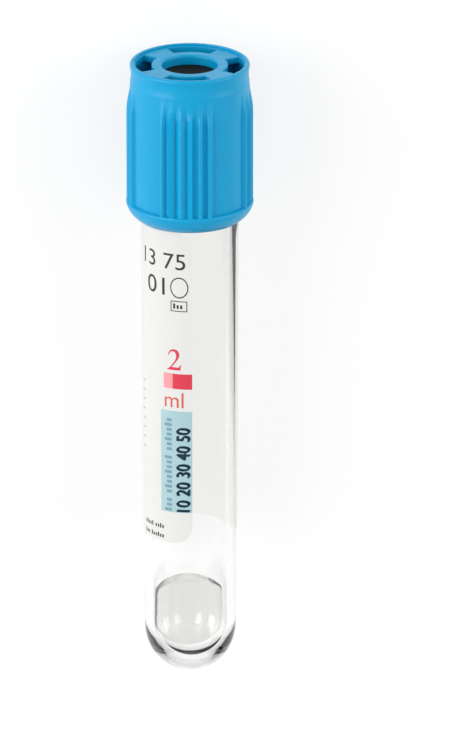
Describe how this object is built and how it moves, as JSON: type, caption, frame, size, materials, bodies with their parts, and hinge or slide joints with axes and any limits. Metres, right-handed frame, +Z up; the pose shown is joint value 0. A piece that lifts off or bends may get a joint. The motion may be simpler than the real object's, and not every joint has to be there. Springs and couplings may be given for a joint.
{
  "type": "blood collection tube",
  "caption": "Clear round-ended tube lying down, with a wrapped label, a drop of liquid in its end and a ribbed pull-off cap with slots in its top over a rubber stopper.",
  "frame": {"origin": "centre of the bounding box, at floor level", "axes": "+Z up, +Y along the lying tube towards its cap, +X to the right when seen from above with the cap at the top"},
  "size_m": [0.0166, 0.0842, 0.0171],
  "materials": {
    "tube": "gloss",
    "label": "satin",
    "citrate": "gloss",
    "stopper": "satin",
    "cap": "gloss"
  },
  "bodies": {
    "filled_tube": {"tube": "tube", "label": "label", "citrate": "citrate"},
    "closure": {"cap": "cap", "stopper": "stopper"}
  },
  "joints": [
    {"name": "closure_pull", "type": "slide", "parent": "filled_tube", "child": "closure", "axis": [0, 0.9992, 0.0394], "range_m": [0, 0.03]}
  ]
}
